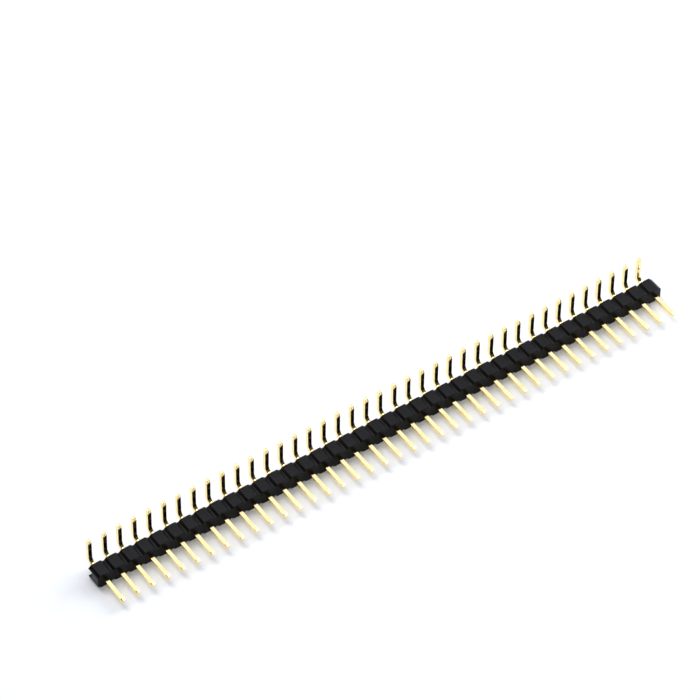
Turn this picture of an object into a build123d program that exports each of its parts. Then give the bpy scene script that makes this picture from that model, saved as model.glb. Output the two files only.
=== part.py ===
from build123d import *
import os

# Right-angle single-row pin header strip: one moulded insulator and a row of bent square contacts.
# Millimetres, +Z up. X runs along the row, the mating pins point to -Y, the solder tails rise at +Y.

# Row
pin_count = 40
pitch = 2.54

# Contact wire
pin_side = 0.64
bend_inner_radius = 0.75
tip_length = 0.52
tip_share = 0.66

# Reach of the contact out of the insulator
mating_length = 4.95
tail_offset = 1.7
tail_rise = 4.55

# Insulator
body_height = 2.54
body_depth = 2.54
notch_depth = 0.38
notch_floor = 0.22
channel_height = 1.4
channel_depth = 0.85
edge_break = 0.06
fit_clearance = 0.0

# Derived sizes
strip_length = pin_count * pitch
axis_height = body_height / 2
half_side = pin_side / 2
tip_side = pin_side * tip_share
bend_radius = bend_inner_radius + half_side
web_height = body_height - 2 * notch_depth
segment_width = pitch - notch_floor
hole_side = pin_side + 2 * fit_clearance
tail_top = axis_height + tail_rise
whole_depth = mating_length + body_depth + tail_offset + half_side
mating_end_y = -whole_depth / 2
body_front_y = mating_end_y + mating_length
body_back_y = body_front_y + body_depth
tail_y = body_back_y + tail_offset
first_pin_x = (pitch - strip_length) / 2

# The insulator is drawn on its tail-side face, and material grows towards the mating side
tail_face = Plane.XZ.offset(-body_back_y)
left_end = Plane.YZ.offset(-strip_length / 2)
row_axis = (0, axis_height)

with BuildSketch() as segment_outline:
    Rectangle(segment_width, body_height)
    chamfer(segment_outline.vertices(), notch_depth)

with BuildSketch(left_end) as moulded_section:
    with Locations((body_front_y + body_depth / 2, axis_height)):
        Rectangle(body_depth, body_height)
    chamfer(moulded_section.vertices(), edge_break)
    with Locations((body_back_y, axis_height)):
        Rectangle(2 * channel_depth, channel_height, mode=Mode.SUBTRACT)

# Insulator: eight-sided segments joined by break-off webs, with a channel along the tail side
with BuildPart() as insulator_body:
    with BuildSketch(tail_face):
        with Locations(row_axis):
            Rectangle(strip_length, web_height)
            with GridLocations(pitch, 0, pin_count, 1):
                add(segment_outline.sketch)
    extrude(amount=body_depth)
    extrude(moulded_section.sketch, amount=strip_length, mode=Mode.INTERSECT)
    with BuildSketch(tail_face):
        with Locations(row_axis):
            with GridLocations(pitch, 0, pin_count, 1):
                Rectangle(hole_side, hole_side)
    extrude(amount=body_depth, mode=Mode.SUBTRACT)

# Contact: a square wire swept along its bent path, with a coined tip lofted on each end
mating_neck = (0, mating_end_y + tip_length, axis_height)
bend_corner = (0, tail_y, axis_height)
tail_neck = (0, tail_y, tail_top - tip_length)

mating_plane = Plane(origin=mating_neck, x_dir=(1, 0, 0), z_dir=(0, -1, 0))
tail_plane = Plane(origin=tail_neck, x_dir=(1, 0, 0), z_dir=(0, 0, 1))

with BuildPart() as contact:
    with BuildLine() as wire_path:
        FilletPolyline(mating_neck, bend_corner, tail_neck, radius=bend_radius)
    with BuildSketch(mating_plane):
        Rectangle(pin_side, pin_side)
    sweep(path=wire_path.wire())
    for neck_plane in (mating_plane, tail_plane):
        with BuildSketch(neck_plane):
            Rectangle(pin_side, pin_side)
        with BuildSketch(neck_plane.offset(tip_length)):
            Rectangle(tip_side, tip_side)
        loft(ruled=True)

os.makedirs("parts", exist_ok=True)

insulator_body.part.label = "insulator_body"
export_step(insulator_body.part, "parts/insulator_body.step")

for index in range(pin_count):
    with BuildPart() as placed_contact:
        with Locations((first_pin_x + index * pitch, 0, 0)):
            add(contact.part)
    name = f"contact_pin_{index + 1:02d}"
    placed_contact.part.label = name
    export_step(placed_contact.part, f"parts/{name}.step")
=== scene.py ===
import math

import bmesh
import bpy
from mathutils import Matrix, Vector


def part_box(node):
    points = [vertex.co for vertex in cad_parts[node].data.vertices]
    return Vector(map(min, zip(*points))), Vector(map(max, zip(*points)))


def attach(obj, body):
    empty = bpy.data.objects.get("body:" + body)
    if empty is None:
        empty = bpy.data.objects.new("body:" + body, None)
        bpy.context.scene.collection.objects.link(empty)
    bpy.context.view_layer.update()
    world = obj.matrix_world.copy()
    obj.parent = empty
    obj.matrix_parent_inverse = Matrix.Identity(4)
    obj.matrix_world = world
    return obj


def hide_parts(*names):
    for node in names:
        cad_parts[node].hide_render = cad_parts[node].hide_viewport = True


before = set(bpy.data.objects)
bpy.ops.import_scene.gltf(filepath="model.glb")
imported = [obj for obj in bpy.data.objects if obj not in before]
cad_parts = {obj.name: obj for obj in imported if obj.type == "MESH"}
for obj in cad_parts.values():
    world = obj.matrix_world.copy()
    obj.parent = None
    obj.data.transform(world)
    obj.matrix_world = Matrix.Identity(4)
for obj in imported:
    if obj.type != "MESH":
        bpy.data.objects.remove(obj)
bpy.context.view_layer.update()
mm = 0.001

bodyLow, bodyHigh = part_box("insulator_body")
pinNames = sorted(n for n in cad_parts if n.startswith("contact_pin"))
firstLow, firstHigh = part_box(pinNames[0])
axisHeight = (bodyLow.z + bodyHigh.z) / 2
bodyMidY = (bodyLow.y + bodyHigh.y) / 2
firstPinX = (firstLow.x + firstHigh.x) / 2
print("frame loaded:", len(pinNames), "contacts")


# small helpers for node trees

nodeGap = 180    # between neighbours in the node editor


def addNode(tree, kind, x, y, **settings):
    node = tree.nodes.new(kind)
    node.location = (x * nodeGap, y * nodeGap)
    for key, value in settings.items():
        setattr(node, key, value)
    return node


def wire(tree, source, target):
    tree.links.new(source, target)


def newTree(name, inputs):
    tree = bpy.data.node_groups.new(name, "GeometryNodeTree")
    tree.interface.new_socket(name="Geometry", in_out="INPUT", socket_type="NodeSocketGeometry")
    for label, kind in inputs:
        tree.interface.new_socket(name=label, in_out="INPUT", socket_type=kind)
    tree.interface.new_socket(name="Geometry", in_out="OUTPUT", socket_type="NodeSocketGeometry")
    return tree


def setInputs(modifier, values):
    for item in modifier.node_group.interface.items_tree:
        if item.item_type == "SOCKET" and item.in_out == "INPUT" and item.name in values:
            modifier[item.identifier] = values[item.name]


# small helpers for meshes

def newObject(name, mesh):
    obj = bpy.data.objects.new(name, mesh)
    bpy.context.scene.collection.objects.link(obj)
    return obj


def bakeModifiers(obj, name):
    # evaluated result as a plain mesh on a fresh object at the origin
    graph = bpy.context.evaluated_depsgraph_get()
    mesh = bpy.data.meshes.new_from_object(obj.evaluated_get(graph), preserve_all_data_layers=True,
                                           depsgraph=graph)
    mesh.name = name
    old = obj.data
    bpy.data.objects.remove(obj)
    bpy.data.meshes.remove(old)
    return newObject(name, mesh)


def smoothFaces(obj, sharpAngle):
    obj.data.shade_smooth()
    obj.data.set_sharp_from_angle(angle=math.radians(sharpAngle))
    even = obj.modifiers.new("evenNormals", "WEIGHTED_NORMAL")
    even.keep_sharp = True


def oneFinish(obj, mat):
    obj.data.materials.clear()
    obj.data.materials.append(mat)
    obj.data.polygons.foreach_set("material_index", [0] * len(obj.data.polygons))
    return obj


# materials

def addNoise(tree, x, y, scale, detail, vector):
    noise = addNode(tree, "ShaderNodeTexNoise", x, y)
    noise.inputs["Scale"].default_value = scale
    noise.inputs["Detail"].default_value = detail
    wire(tree, vector, noise.inputs["Vector"])
    return noise.outputs["Fac"]


def addTones(tree, x, y, amount, low, lowColour, high, highColour):
    tone = addNode(tree, "ShaderNodeValToRGB", x, y)
    for element, place, colour in zip(tone.color_ramp.elements, (low, high), (lowColour, highColour)):
        element.position = place
        element.color = colour
    wire(tree, amount, tone.inputs["Fac"])
    return tone.outputs["Color"]


def addGloss(tree, shader, x, y, amount, low, high):
    gloss = addNode(tree, "ShaderNodeMapRange", x, y)
    gloss.inputs["To Min"].default_value = low
    gloss.inputs["To Max"].default_value = high
    wire(tree, amount, gloss.inputs["Value"])
    wire(tree, gloss.outputs["Result"], shader.inputs["Roughness"])


def addBump(tree, shader, x, y, height, strength, depth):
    bump = addNode(tree, "ShaderNodeBump", x, y)
    bump.inputs["Strength"].default_value = strength
    bump.inputs["Distance"].default_value = depth
    wire(tree, height, bump.inputs["Height"])
    wire(tree, bump.outputs["Normal"], shader.inputs["Normal"])


plasticLook = {
    "dark": (0.0032, 0.0032, 0.0042, 1),
    "light": (0.0058, 0.0058, 0.0072, 1),
    # lighter colour for wear and for a painted highlight on rounded edges and notch floors
    "edge": (0.05, 0.05, 0.053, 1),
    "specular": 0.13,
    "roughLow": 0.29,
    "roughHigh": 0.42,
    "flowScale": 420,      # cloudy moulding flow
    "flowDetail": 4,
    "flowLow": 0.35,
    "flowHigh": 0.7,
    "grainScale": 9000,    # fine mould texture
    "grainDetail": 3,
    "grainBump": 0.12,
    "grainDepth": 0.01 * mm,
}


def makePlastic(look):
    mat = bpy.data.materials.new("blackHousingPlastic")
    mat.use_nodes = True
    tree = mat.node_tree
    shader = tree.nodes["Principled BSDF"]
    shader.inputs["Specular IOR Level"].default_value = look["specular"]
    place = addNode(tree, "ShaderNodeTexCoord", -8, 0).outputs["Object"]
    flow = addNoise(tree, -6, 1, look["flowScale"], look["flowDetail"], place)
    grain = addNoise(tree, -6, -1, look["grainScale"], look["grainDetail"], place)
    tone = addTones(tree, -4, 1, flow, look["flowLow"], look["dark"], look["flowHigh"], look["light"])
    # rubbed places turn lighter, broken up by the grain; the lighter colour is partly wear and partly a
    # painted highlight on rounded edges and notch floors
    rubSheen = addNode(tree, "ShaderNodeAttribute", -6, 2.5, attribute_name="rubAndSheen")
    rubSheenShare = addNode(tree, "ShaderNodeMath", -4, 2.5, operation="MULTIPLY")
    wire(tree, rubSheen.outputs["Fac"], rubSheenShare.inputs[0])
    wire(tree, grain, rubSheenShare.inputs[1])
    mix = addNode(tree, "ShaderNodeMix", -2, 1, data_type="RGBA")
    mix.inputs["B"].default_value = look["edge"]
    wire(tree, rubSheenShare.outputs[0], mix.inputs["Factor"])
    wire(tree, tone, mix.inputs["A"])
    wire(tree, mix.outputs["Result"], shader.inputs["Base Color"])
    addGloss(tree, shader, -3, -0.4, flow, look["roughLow"], look["roughHigh"])
    addBump(tree, shader, -2, -1.5, grain, look["grainBump"], look["grainDepth"])
    return mat


goldLook = {
    "bright": (1.0, 0.82, 0.42, 1),
    "deep": (0.94, 0.73, 0.33, 1),
    "roughLow": 0.05,
    "roughHigh": 0.13,
    "stainScale": 900,             # patches of thinner plating
    "stainDetail": 3,
    "stainLow": 0.3,
    "stainHigh": 0.62,
    "drawnStretch": (26, 350, 7),  # lines left by drawing the wire: around, along, by contact
    "drawnScale": 1,
    "drawnDetail": 4,
    "drawnBump": 0.03,
    "drawnDepth": 0.01 * mm,
}


def makeGold(look):
    mat = bpy.data.materials.new("goldPlatedWire")
    mat.use_nodes = True
    tree = mat.node_tree
    shader = tree.nodes["Principled BSDF"]
    shader.inputs["Metallic"].default_value = 1
    run = addNode(tree, "ShaderNodeAttribute", -9, -1, attribute_name="wireRun")
    stretch = addNode(tree, "ShaderNodeMapping", -7, -1)
    stretch.inputs["Scale"].default_value = look["drawnStretch"]
    wire(tree, run.outputs["Vector"], stretch.inputs["Vector"])
    drawn = addNoise(tree, -5, -1, look["drawnScale"], look["drawnDetail"], stretch.outputs["Vector"])
    place = addNode(tree, "ShaderNodeTexCoord", -9, 1).outputs["Object"]
    stain = addNoise(tree, -5, 1, look["stainScale"], look["stainDetail"], place)
    tone = addTones(tree, -3, 1, stain, look["stainLow"], look["deep"], look["stainHigh"], look["bright"])
    wire(tree, tone, shader.inputs["Base Color"])
    addGloss(tree, shader, -3, -0.4, drawn, look["roughLow"], look["roughHigh"])
    addBump(tree, shader, -2, -1.5, drawn, look["drawnBump"], look["drawnDepth"])
    return mat


plastic = makePlastic(plasticLook)
gold = makeGold(goldLook)
print("materials ready")


# insulator: one segment in mesh code, repeated along the row

insulator = {
    "pitch": 2.54 * mm,
    "count": len(pinNames),
    "notchDepth": 0.38 * mm,
    "notchFloor": 0.22 * mm,
    "channelHeight": 1.4 * mm,
    "channelDepth": 0.85 * mm,
    "holeSide": 0.64 * mm,
    "edgeRound": 0.045 * mm,
    "edgeSteps": 3,
    "edgeProfile": 0.5,     # round, neither hollow nor square
    "edgeAngle": 20,        # degrees between faces, from which an edge is rounded
    "sharpAngle": 40,
    "webRubAndSheen": 0.1,          # the webs lighten where the strip is meant to snap: partly stress whitening, partly a painted highlight on the notch floor
    # rounded edges painted lighter: partly wear, partly a painted highlight
    "edgeRubAndSheen": 0.2,
    "weld": 0.001 * mm,
    "decimals": 9,          # of a metre, at which two corners are one
    "slack": 0.01 * mm,     # for telling which face or corner is which
    "levelShare": 0.99,     # a face is level where its normal's z is past this
}


def segmentMesh(size):
    # half a notch floor at each side, open at both sides so that neighbours weld together
    half = size["pitch"] / 2
    shoulder = half - size["notchFloor"] / 2
    flat = shoulder - size["notchDepth"]
    top = (bodyHigh.z - bodyLow.z) / 2
    web = top - size["notchDepth"]
    slot = size["channelHeight"] / 2
    hole = size["holeSide"] / 2
    front, back = bodyLow.y, bodyHigh.y
    floorY = back - size["channelDepth"]
    bm = bmesh.new()
    known = {}

    def point(place):
        key = tuple(round(value, size["decimals"]) for value in place)
        if key not in known:
            known[key] = bm.verts.new(place)
        return known[key]

    def face(*corners):
        bm.faces.new([point(c) for c in corners])

    edge = [(-half, web), (-shoulder, web), (-flat, top), (flat, top), (shoulder, web), (half, web)]
    for sign in (1, -1):
        rim = [(x, sign * z) for x, z in edge]
        high, slotZ, holeZ = sign * top, sign * slot, sign * hole
        for (xa, za), (xb, zb) in zip(rim, rim[1:]):
            face((xa, front, za), (xb, front, zb), (xb, back, zb), (xa, back, za))
        # rail beside the channel, and the channel's wall
        face(*[(x, back, z) for x, z in rim], (half, back, slotZ), (-half, back, slotZ))
        face((-half, back, slotZ), (half, back, slotZ), (half, floorY, slotZ), (-half, floorY, slotZ))
        # above and below the hole, on the mating face and on the channel floor
        face((-flat, front, high), (flat, front, high), (hole, front, holeZ), (-hole, front, holeZ))
        face((-half, floorY, slotZ), (half, floorY, slotZ), (hole, floorY, holeZ), (-hole, floorY, holeZ))
        face((-hole, front, holeZ), (hole, front, holeZ), (hole, floorY, holeZ), (-hole, floorY, holeZ))
    for side in (1, -1):
        out, low, corner, holeX = side * half, side * shoulder, side * flat, side * hole
        face((out, front, web), (low, front, web), (corner, front, top), (holeX, front, hole),
             (holeX, front, -hole), (corner, front, -top), (low, front, -web), (out, front, -web))
        face((out, floorY, slot), (holeX, floorY, hole), (holeX, floorY, -hole), (out, floorY, -slot))
        face((holeX, front, hole), (holeX, front, -hole), (holeX, floorY, -hole), (holeX, floorY, hole))
    mesh = bpy.data.meshes.new("segment")
    bm.to_mesh(mesh)
    bm.free()
    return mesh


def segmentRowTree():
    tree = newTree("segmentRow", [("Count", "NodeSocketInt"), ("Pitch", "NodeSocketFloat"),
                                  ("First X", "NodeSocketFloat"), ("Axis Height", "NodeSocketFloat"),
                                  ("Weld", "NodeSocketFloat"), ("Finish", "NodeSocketMaterial")])
    start = addNode(tree, "NodeGroupInput", -6, 0)
    first = addNode(tree, "ShaderNodeCombineXYZ", -4, -1)
    step = addNode(tree, "ShaderNodeCombineXYZ", -4, -2)
    line = addNode(tree, "GeometryNodeMeshLine", -2, -1, mode="OFFSET")
    place = addNode(tree, "GeometryNodeInstanceOnPoints", 0, 0)
    realize = addNode(tree, "GeometryNodeRealizeInstances", 2, 0)
    weld = addNode(tree, "GeometryNodeMergeByDistance", 3, 0)
    finish = addNode(tree, "GeometryNodeSetMaterial", 4, 0)
    end = addNode(tree, "NodeGroupOutput", 5, 0)
    wire(tree, start.outputs["First X"], first.inputs["X"])
    wire(tree, start.outputs["Axis Height"], first.inputs["Z"])
    wire(tree, start.outputs["Pitch"], step.inputs["X"])
    wire(tree, start.outputs["Count"], line.inputs["Count"])
    wire(tree, first.outputs[0], line.inputs["Start Location"])
    wire(tree, step.outputs[0], line.inputs["Offset"])
    wire(tree, line.outputs[0], place.inputs["Points"])
    wire(tree, start.outputs["Geometry"], place.inputs["Instance"])
    wire(tree, place.outputs[0], realize.inputs[0])
    wire(tree, realize.outputs[0], weld.inputs["Geometry"])
    wire(tree, start.outputs["Weld"], weld.inputs["Distance"])
    wire(tree, weld.outputs[0], finish.inputs["Geometry"])
    wire(tree, start.outputs["Finish"], finish.inputs["Material"])
    wire(tree, finish.outputs[0], end.inputs["Geometry"])
    return tree


def roundInsulator(obj, size):
    # closes the two end faces, rounds the moulded edges and marks the places painted lighter: wear, and a
    # painted highlight on the webs and rounded edges
    bm = bmesh.new()
    bm.from_mesh(obj.data)
    bmesh.ops.holes_fill(bm, edges=[e for e in bm.edges if e.is_boundary], sides=0)
    bmesh.ops.recalc_face_normals(bm, faces=bm.faces)
    rubAndSheen = bm.faces.layers.float.new("rubAndSheen")
    pitch, slack = size["pitch"], size["slack"]
    hole = size["holeSide"] / 2 + slack
    web = (bodyHigh.z - bodyLow.z) / 2 - size["notchDepth"]

    def atHole(vert):
        across = (vert.co.x - firstPinX + pitch / 2) % pitch - pitch / 2
        return abs(across) < hole and abs(vert.co.z - axisHeight) < hole

    def isWeb(f):
        level = abs(f.calc_center_median().z - axisHeight)
        return abs(f.normal.z) > size["levelShare"] and abs(level - web) < slack

    def isMoulded(e):
        return (len(e.link_faces) == 2 and e.calc_face_angle() > math.radians(size["edgeAngle"])
                and not all(atHole(v) for v in e.verts))

    for f in bm.faces:
        if isWeb(f):
            f[rubAndSheen] = size["webRubAndSheen"]
    made = bmesh.ops.bevel(bm, geom=[e for e in bm.edges if isMoulded(e)], affect="EDGES",
                           offset=size["edgeRound"], offset_type="OFFSET", clamp_overlap=True,
                           segments=size["edgeSteps"], profile=size["edgeProfile"])
    # the rounded edges take a share of wear and painted highlight
    for f in made["faces"]:
        f[rubAndSheen] = size["edgeRubAndSheen"]
    bm.to_mesh(obj.data)
    bm.free()
    smoothFaces(obj, size["sharpAngle"])
    return obj


def makeInsulator(size):
    seed = newObject("insulatorSeed", segmentMesh(size))
    row = seed.modifiers.new("segmentRow", "NODES")
    row.node_group = segmentRowTree()
    setInputs(row, {"Count": size["count"], "Pitch": size["pitch"], "First X": firstPinX,
                    "Axis Height": axisHeight, "Weld": size["weld"], "Finish": plastic})
    body = roundInsulator(bakeModifiers(seed, "insulatorRaw"), size)
    return oneFinish(bakeModifiers(body, "insulatorStrip"), plastic)


insulatorStrip = makeInsulator(insulator)
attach(insulatorStrip, "root")
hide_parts("insulator_body")
print("insulator:", len(insulatorStrip.data.polygons), "faces")


# contacts: square wire swept along its bent path, one row of them

contact = {
    "side": 0.64 * mm,
    "corner": 0.035 * mm,
    "cornerSteps": 3,
    "bendInner": 0.75 * mm,
    "bendSteps": 18,
    "straightSteps": 4,
    "tipLength": 0.52 * mm,
    "tipShare": 0.66,          # girth of a coined tip beside the wire's
    "tipRound": 0.015 * mm,
    "endDraw": 0.84,           # the rounded end draws in to this share of the tip
    "midPlace": 0.35,          # a point on the rounding: how far along, and its share of the tip
    "midDraw": 0.95,
    "tipSwell": 0.03,          # girth gained by the end of the rounding
    "neckGirth": 0.975,
    "sway": 0.5,               # degrees that a contact may stand off true
    "swayAxes": (0, 1, 0.6),   # share of the sway about each axis
    "seed": 7,
    "trim": 0.004 * mm,        # so that a swayed contact stays within its true length
    "sharpAngle": 40,
}


def tipProfile(size):
    # distance from the end of the wire, and girth
    soft, share, length = size["tipRound"], size["tipShare"], size["tipLength"]
    return [(0, share * size["endDraw"]), (soft * size["midPlace"], share * size["midDraw"]),
            (soft, share + size["tipSwell"]), (length - soft, size["neckGirth"]), (length + soft, 1)]


def contactPath(size):
    # path of one contact about the middle of the insulator, with its girth at each point
    half = size["side"] / 2
    matingEnd = firstLow.y - bodyMidY + size["trim"]
    tailY = firstHigh.y - half - bodyMidY - size["trim"]
    tailEnd = firstHigh.z - axisHeight - size["trim"]
    radius = size["bendInner"] + half
    bendY = tailY - radius
    matingNeck = matingEnd + size["tipLength"]
    tailNeck = tailEnd - size["tipLength"]
    points = [(matingEnd + along, 0, girth) for along, girth in tipProfile(size)]
    for k in range(1, size["straightSteps"]):
        points.append((matingNeck + (bendY - matingNeck) * k / size["straightSteps"], 0, 1))
    for k in range(size["bendSteps"] + 1):
        turn = math.pi / 2 * k / size["bendSteps"]
        points.append((bendY + radius * math.sin(turn), radius - radius * math.cos(turn), 1))
    points.append((tailY, (radius + tailNeck) / 2, 1))
    points += [(tailY, tailEnd - along, girth) for along, girth in reversed(tipProfile(size))]
    links = [(k, k + 1) for k in range(len(points) - 1)]
    mesh = bpy.data.meshes.new("contactPath")
    mesh.from_pydata([(0, y, z) for y, z, girth in points], links, [])
    girths = mesh.attributes.new("girth", "FLOAT", "POINT")
    girths.data.foreach_set("value", [girth for y, z, girth in points])
    return mesh


def contactRowTree(swayAxes):
    tree = newTree("contactRow", [("Count", "NodeSocketInt"), ("Pitch", "NodeSocketFloat"),
                                  ("First Place", "NodeSocketVector"), ("Side", "NodeSocketFloat"),
                                  ("Corner", "NodeSocketFloat"), ("Corner Steps", "NodeSocketInt"),
                                  ("Sway", "NodeSocketFloat"), ("Seed", "NodeSocketInt"),
                                  ("Finish", "NodeSocketMaterial")])
    start = addNode(tree, "NodeGroupInput", -10, 0)
    # wire section with rounded corners
    square = addNode(tree, "GeometryNodeCurvePrimitiveQuadrilateral", -8, -2)
    wire(tree, start.outputs["Side"], square.inputs["Width"])
    wire(tree, start.outputs["Side"], square.inputs["Height"])
    corner = addNode(tree, "GeometryNodeFilletCurve", -6, -2, mode="POLY")
    wire(tree, square.outputs[0], corner.inputs["Curve"])
    wire(tree, start.outputs["Corner"], corner.inputs["Radius"])
    wire(tree, start.outputs["Corner Steps"], corner.inputs["Count"])
    aroundAt = addNode(tree, "GeometryNodeSplineParameter", -6, -3)
    around = addNode(tree, "GeometryNodeCaptureAttribute", -4, -2)
    around.capture_items.new("FLOAT", "around")
    wire(tree, corner.outputs[0], around.inputs["Geometry"])
    wire(tree, aroundAt.outputs["Factor"], around.inputs["around"])
    # path, with the girth shrinking at the coined tips
    path = addNode(tree, "GeometryNodeMeshToCurve", -8, 0)
    wire(tree, start.outputs["Geometry"], path.inputs["Mesh"])
    girth = addNode(tree, "GeometryNodeInputNamedAttribute", -8, 1, data_type="FLOAT")
    girth.inputs["Name"].default_value = "girth"
    alongAt = addNode(tree, "GeometryNodeSplineParameter", -8, 2)
    along = addNode(tree, "GeometryNodeCaptureAttribute", -5, 0)
    along.capture_items.new("FLOAT", "along")
    along.capture_items.new("FLOAT", "girth")
    wire(tree, path.outputs[0], along.inputs["Geometry"])
    wire(tree, alongAt.outputs["Length"], along.inputs["along"])
    wire(tree, girth.outputs[0], along.inputs["girth"])
    sweep = addNode(tree, "GeometryNodeCurveToMesh", -2, 0)
    sweep.inputs["Fill Caps"].default_value = True
    wire(tree, around.outputs["Geometry"], sweep.inputs["Profile Curve"])
    wire(tree, along.outputs["Geometry"], sweep.inputs["Curve"])
    wire(tree, along.outputs["girth"], sweep.inputs["Scale"])
    # the row, each contact a touch off true
    step = addNode(tree, "ShaderNodeCombineXYZ", -4, -4)
    wire(tree, start.outputs["Pitch"], step.inputs["X"])
    line = addNode(tree, "GeometryNodeMeshLine", -2, -3, mode="OFFSET")
    wire(tree, start.outputs["Count"], line.inputs["Count"])
    wire(tree, start.outputs["First Place"], line.inputs["Start Location"])
    wire(tree, step.outputs[0], line.inputs["Offset"])
    chance = addNode(tree, "FunctionNodeRandomValue", -2, -5, data_type="FLOAT_VECTOR")
    wire(tree, start.outputs["Seed"], chance.inputs["Seed"])
    for row, (label, sign) in enumerate((("Min", -1), ("Max", 1))):
        reach = addNode(tree, "ShaderNodeVectorMath", -4, -5 - row, operation="SCALE")
        reach.inputs[0].default_value = [sign * share for share in swayAxes]
        wire(tree, start.outputs["Sway"], reach.inputs["Scale"])
        wire(tree, reach.outputs[0], chance.inputs[label])
    turn = addNode(tree, "FunctionNodeEulerToRotation", -1, -5)
    wire(tree, chance.outputs[0], turn.inputs[0])
    place = addNode(tree, "GeometryNodeInstanceOnPoints", 0, 0)
    wire(tree, line.outputs[0], place.inputs["Points"])
    wire(tree, sweep.outputs[0], place.inputs["Instance"])
    wire(tree, turn.outputs[0], place.inputs["Rotation"])
    # each contact keeps its own number for the finish
    which = addNode(tree, "GeometryNodeInputIndex", 0, -2)
    number = addNode(tree, "GeometryNodeStoreNamedAttribute", 1, 0,
                     data_type="FLOAT", domain="INSTANCE")
    number.inputs["Name"].default_value = "contactNumber"
    wire(tree, place.outputs[0], number.inputs["Geometry"])
    wire(tree, which.outputs[0], number.inputs["Value"])
    realize = addNode(tree, "GeometryNodeRealizeInstances", 2, 0)
    wire(tree, number.outputs[0], realize.inputs[0])
    numberRead = addNode(tree, "GeometryNodeInputNamedAttribute", 1, -2, data_type="FLOAT")
    numberRead.inputs["Name"].default_value = "contactNumber"
    # where a point lies on its wire: x around, y along, z the contact's number
    run = addNode(tree, "ShaderNodeCombineXYZ", 2, -1)
    wire(tree, around.outputs["around"], run.inputs["X"])
    wire(tree, along.outputs["along"], run.inputs["Y"])
    wire(tree, numberRead.outputs[0], run.inputs["Z"])
    store = addNode(tree, "GeometryNodeStoreNamedAttribute", 3, 0,
                    data_type="FLOAT_VECTOR", domain="POINT")
    store.inputs["Name"].default_value = "wireRun"
    wire(tree, realize.outputs[0], store.inputs["Geometry"])
    wire(tree, run.outputs[0], store.inputs["Value"])
    finish = addNode(tree, "GeometryNodeSetMaterial", 4, 0)
    wire(tree, store.outputs[0], finish.inputs["Geometry"])
    wire(tree, start.outputs["Finish"], finish.inputs["Material"])
    end = addNode(tree, "NodeGroupOutput", 5, 0)
    wire(tree, finish.outputs[0], end.inputs["Geometry"])
    return tree


def makeContacts(size):
    seed = newObject("contactSeed", contactPath(size))
    row = seed.modifiers.new("contactRow", "NODES")
    row.node_group = contactRowTree(size["swayAxes"])
    setInputs(row, {"Count": len(pinNames), "Pitch": insulator["pitch"],
                    "First Place": (firstPinX, bodyMidY, axisHeight), "Side": size["side"],
                    "Corner": size["corner"], "Corner Steps": size["cornerSteps"],
                    "Sway": math.radians(size["sway"]), "Seed": size["seed"], "Finish": gold})
    raw = bakeModifiers(seed, "contactRaw")
    bm = bmesh.new()
    bm.from_mesh(raw.data)
    bmesh.ops.recalc_face_normals(bm, faces=bm.faces)
    bm.to_mesh(raw.data)
    bm.free()
    smoothFaces(raw, size["sharpAngle"])
    return oneFinish(bakeModifiers(raw, "contactRow"), gold)


contactRow = makeContacts(contact)
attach(contactRow, "root")
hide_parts(*pinNames)
print("contacts:", len(contactRow.data.polygons), "faces")


# floor, lights and camera

stageLook = {
    "floorHalf": 1.5,
    "floorColour": (0.9, 0.925, 0.98, 1),
    "floorLift": 0.09,
    "skyColour": (0.9, 0.95, 1, 1),
    "skyStrength": 0.07,
}


def makeFloor(look):
    half = look["floorHalf"]
    corners = [(-half, -half, 0), (half, -half, 0), (half, half, 0), (-half, half, 0)]
    mesh = bpy.data.meshes.new("floorSheet")
    mesh.from_pydata(corners, [], [(0, 1, 2, 3)])
    floor = newObject("floorSheet", mesh)
    mat = bpy.data.materials.new("whitePaper")
    mat.use_nodes = True
    tree = mat.node_tree
    tree.nodes.remove(tree.nodes["Principled BSDF"])
    paper = addNode(tree, "ShaderNodeBsdfDiffuse", -3, 0)
    paper.inputs["Color"].default_value = look["floorColour"]
    # the paper's lift is for what is seen and mirrored, and lights nothing
    path = addNode(tree, "ShaderNodeLightPath", -7, -1)
    seen = path.outputs["Is Camera Ray"]
    for column, label in enumerate(("Is Glossy Ray", "Is Transmission Ray")):
        either = addNode(tree, "ShaderNodeMath", column - 6, -1, operation="MAXIMUM")
        wire(tree, seen, either.inputs[0])
        wire(tree, path.outputs[label], either.inputs[1])
        seen = either.outputs[0]
    amount = addNode(tree, "ShaderNodeMath", -4, -1, operation="MULTIPLY")
    amount.inputs[1].default_value = look["floorLift"]
    wire(tree, seen, amount.inputs[0])
    lift = addNode(tree, "ShaderNodeEmission", -3, -1)
    wire(tree, amount.outputs[0], lift.inputs["Strength"])
    both = addNode(tree, "ShaderNodeAddShader", -1, 0)
    wire(tree, paper.outputs[0], both.inputs[0])
    wire(tree, lift.outputs[0], both.inputs[1])
    wire(tree, both.outputs[0], tree.nodes["Material Output"].inputs["Surface"])
    mesh.materials.append(mat)
    return floor


def makeSky(look):
    world = bpy.data.worlds.new("studioSky")
    bpy.context.scene.world = world
    world.use_nodes = True
    back = world.node_tree.nodes["Background"]
    back.inputs["Color"].default_value = look["skyColour"]
    back.inputs["Strength"].default_value = look["skyStrength"]


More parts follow.
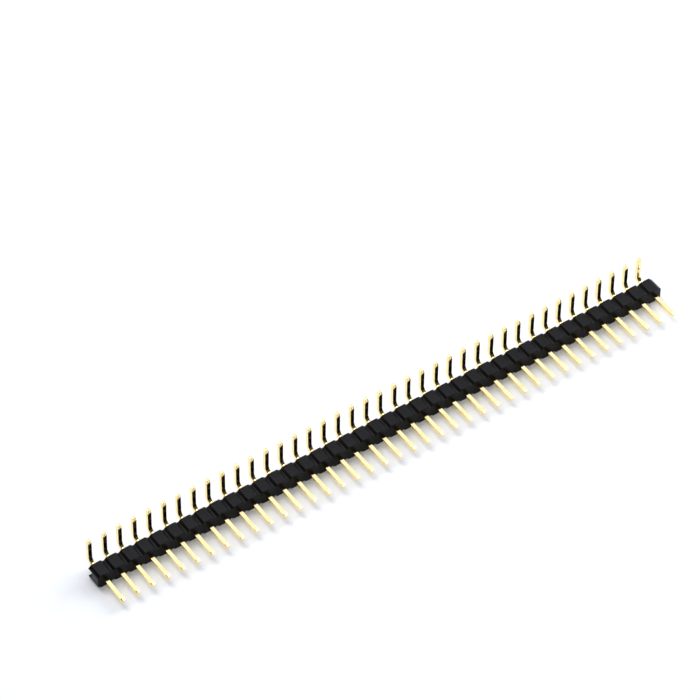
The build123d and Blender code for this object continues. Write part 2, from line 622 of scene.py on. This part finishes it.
# name, direction from the strip, distance, width, height, brightness of the panel, colour
softboxes = [
    ("backBox", (-0.16, 0.58, 0.8), 0.8, 0.4, 0.7, 3.8, (1, 1, 1)),
    ("topPanel", (0.4, 0.557, 0.70), 0.8, 0.42, 0.42, 1.2, (0.93, 0.98, 1.12)),
    ("highBox", (0.27, 0.27, 0.92), 0.8, 0.54, 0.28, 2.4, (1, 1, 1)),
    ("rightBox", (0.84, 0.22, 0.55), 0.8, 0.44, 0.5, 5.4, (1, 1, 1)),
    ("lowRightBox", (0.9, -0.24, 0.36), 0.9, 0.5, 0.3, 2.2, (1, 1, 1)),
    ("fillPanel", (-0.35, -0.4, 0.85), 0.9, 0.8, 0.8, 0.65, (1, 1, 1)),
]


def makeSoftbox(name, toward, distance, width, height, brightness, colour):
    lamp = bpy.data.lights.new(name, "AREA")
    lamp.shape = "RECTANGLE"
    lamp.size = width
    lamp.size_y = height
    lamp.energy = brightness * math.pi * width * height    # power from how bright the panel looks
    lamp.color = colour
    obj = bpy.data.objects.new(name, lamp)
    bpy.context.scene.collection.objects.link(obj)
    obj.location = Vector(toward).normalized() * distance
    obj.rotation_euler = (-obj.location).to_track_quat("-Z", "Y").to_euler()
    return obj


shot = {
    "place": (-0.233051, -0.318087, 0.440799),
    "aim": (0.004873, 0.017202, 0.00127),
    "roll": 0.64,    # degrees
    "lens": 205.743,
    "sensor": 36,
    "near": 0.01,
    "far": 10,
}


def makeCamera(look):
    data = bpy.data.cameras.new("shotCamera")
    data.sensor_width = look["sensor"]
    data.lens = look["lens"]
    data.clip_start = look["near"]
    data.clip_end = look["far"]
    cam = bpy.data.objects.new("shotCamera", data)
    bpy.context.scene.collection.objects.link(cam)
    ahead = Vector(look["aim"]) - Vector(look["place"])
    facing = ahead.to_track_quat("-Z", "Y").to_matrix().to_4x4()
    roll = Matrix.Rotation(math.radians(look["roll"]), 4, "Z")
    cam.matrix_world = Matrix.Translation(look["place"]) @ facing @ roll
    bpy.context.scene.camera = cam
    return cam


makeFloor(stageLook)
makeSky(stageLook)
for panel in softboxes:
    makeSoftbox(*panel)
makeCamera(shot)
bpy.context.scene.view_settings.view_transform = "Standard"
print("stage ready")
